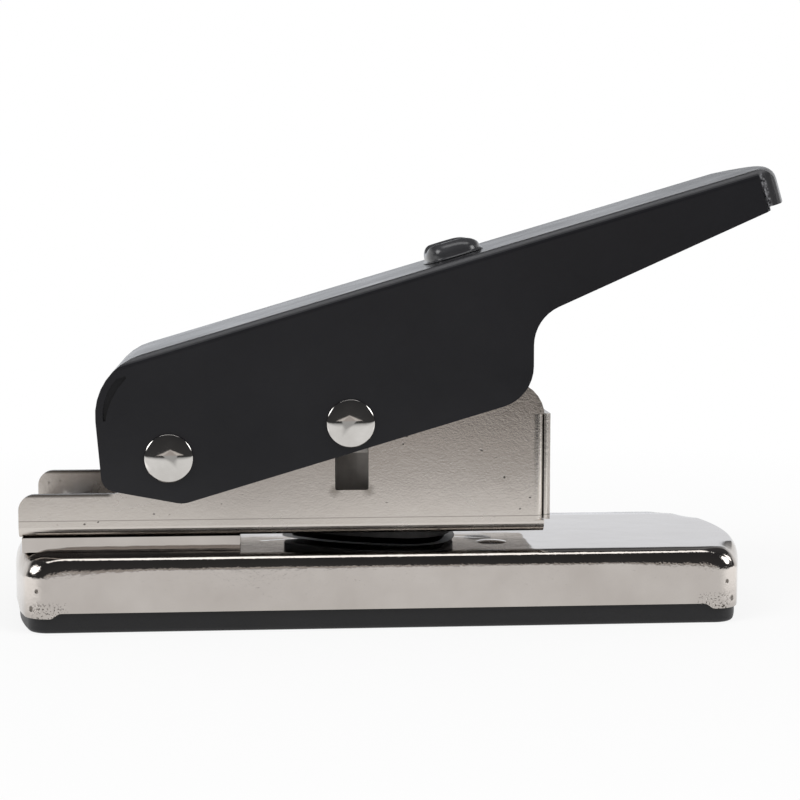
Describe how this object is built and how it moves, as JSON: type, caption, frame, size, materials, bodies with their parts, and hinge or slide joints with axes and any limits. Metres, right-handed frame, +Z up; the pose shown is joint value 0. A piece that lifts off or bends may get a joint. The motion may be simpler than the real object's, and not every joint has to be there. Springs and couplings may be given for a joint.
{
  "type": "guitar pick punch",
  "caption": "Lever punch on a flat chromed base that cuts guitar picks from sheet plastic in a side throat, with return springs, lever lock and pick tray.",
  "frame": {"origin": "middle of the flat underside, on the table", "axes": "+X from the hinge end to the lever's tip, +Y across towards the side away from the camera, +Z up"},
  "size_m": [0.1513, 0.05, 0.0878],
  "materials": {
    "chrome_shell": "bright plated deep-drawn sheet",
    "nickel_sheet": "satin nickel-plated bent sheet",
    "black_coat": "satin black powder coat",
    "black_plastic": "satin moulded black",
    "gloss_plastic": "glossy moulded black",
    "pin_chrome": "polished chrome",
    "tool_steel": "ground steel",
    "dark_steel": "blackened steel",
    "zinc_steel": "zinc-plated",
    "spring_steel": "bright drawn wire"
  },
  "bodies": {
    "base": {"base_shell": "chrome_shell", "die_plate": "tool_steel", "die_rivets": "zinc_steel", "throat_spacer": "chrome_shell", "frame_channel": "nickel_sheet", "frame_screws": "zinc_steel", "guide_collar": "dark_steel", "collar_rivets": "zinc_steel", "spring_cups": "zinc_steel", "front_spring": "spring_steel", "rear_spring": "spring_steel", "pivot_pin": "pin_chrome", "pivot_cap": "pin_chrome", "pivot_sleeve": "zinc_steel", "pivot_washers": "zinc_steel"},
    "lever": {"lever_shell": "black_coat", "drive_pin": "pin_chrome", "drive_cap": "pin_chrome", "drive_roller": "tool_steel"},
    "lock": {"lock_button": "gloss_plastic", "lock_hook": "zinc_steel", "lock_screw": "zinc_steel"},
    "ram": {"ram_block": "tool_steel", "pick_punch": "tool_steel", "punch_screws": "dark_steel"},
    "tray": {"pick_tray": "black_plastic"}
  },
  "joints": [
    {"name": "lever_press", "type": "hinge", "parent": "base", "child": "lever", "pos_m": [-0.0409, 0, 0.0324], "axis": [0, 1, 0], "range_deg": [0, 16.5], "stiffness_Nm_per_rad": 3, "springref_deg": -13.75},
    {"name": "ram_slide", "type": "slide", "parent": "base", "child": "ram", "axis": [0, 0, -1], "range_m": [0, 0.01006], "deforming": ["front_spring", "rear_spring"]},
    {"name": "lock_slide", "type": "slide", "parent": "lever", "child": "lock", "axis": [0.9588, 0, 0.284], "range_m": [0, 0.0029]},
    {"name": "tray_pull", "type": "slide", "parent": "base", "child": "tray", "axis": [0, 0, -1], "range_m": [0, 0.015]}
  ],
  "couplings": [
    {"joint": "ram_slide", "follows": "lever_press", "m_per_rad": 0.03485}
  ]
}
